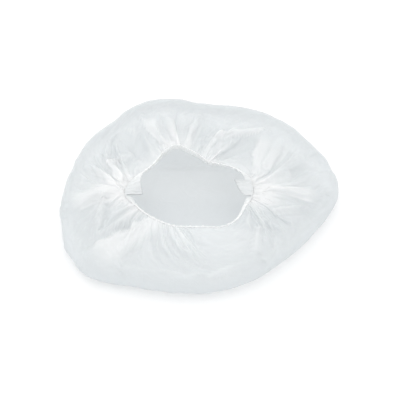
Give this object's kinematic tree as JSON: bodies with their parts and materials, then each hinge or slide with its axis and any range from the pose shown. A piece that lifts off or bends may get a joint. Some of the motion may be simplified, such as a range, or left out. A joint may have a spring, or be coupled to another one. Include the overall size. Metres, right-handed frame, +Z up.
{
  "type": "disposable shower cap",
  "caption": "Bouffant shower cap of thin translucent film, lying crown down, with a gathered elastic hem round an open mouth that stretches over the hair.",
  "frame": {"origin": "on the surface that the cap lies on, under the middle of its outline", "axes": "+Z up out of the mouth, +X along the cap's longest extent, to the right when its low front edge is nearest the viewer"},
  "size_m": [0.2727, 0.2607, 0.046],
  "materials": {
    "clear_film": "thin crumpled polyethylene film, milky and see-through, with a soft gloss",
    "hem_casing": "the same film folded over a thin elastic, whiter where its layers gather"
  },
  "bodies": {
    "root": {"film_bag": "clear_film", "elastic_hem": "hem_casing"}
  },
  "joints": []
}
